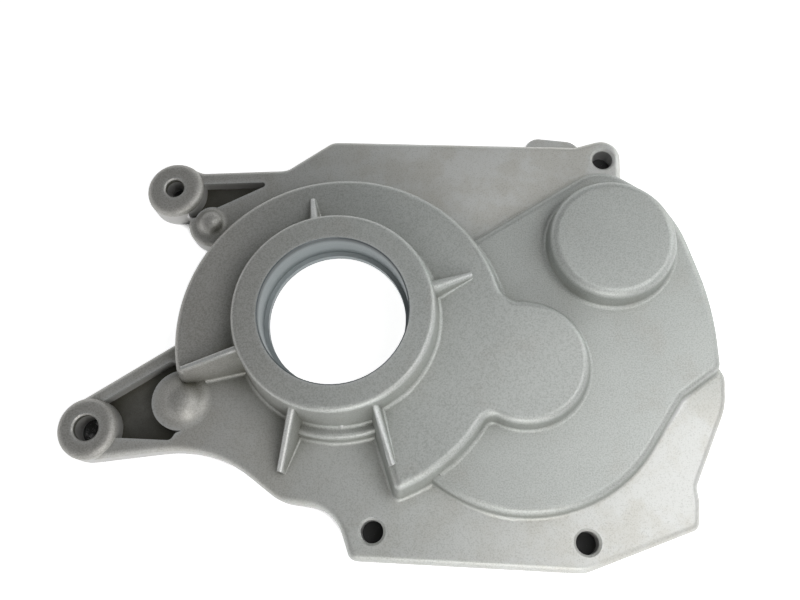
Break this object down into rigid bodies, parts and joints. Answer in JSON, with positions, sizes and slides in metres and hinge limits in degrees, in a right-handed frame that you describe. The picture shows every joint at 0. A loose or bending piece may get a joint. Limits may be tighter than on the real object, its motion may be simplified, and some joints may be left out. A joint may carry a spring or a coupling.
{
  "type": "die-cast gear housing",
  "caption": "Die-cast aluminium gear-case cover with a ribbed bearing ring, stepped platforms, a closed round boss and two arms with lugs.",
  "frame": {"origin": "on the axis of the main bore, at the shoulder of its bearing seat, 15.5 mm above the mating face", "axes": "+Z along the main bore, out of its mouth; +X along the straight edges of the flange, towards the small gears"},
  "size_m": [0.2137, 0.1475, 0.0275],
  "materials": {
    "cast": "shot-blasted die-cast skin, machined seats"
  },
  "bodies": {
    "root": {"housing": "cast"}
  },
  "joints": []
}
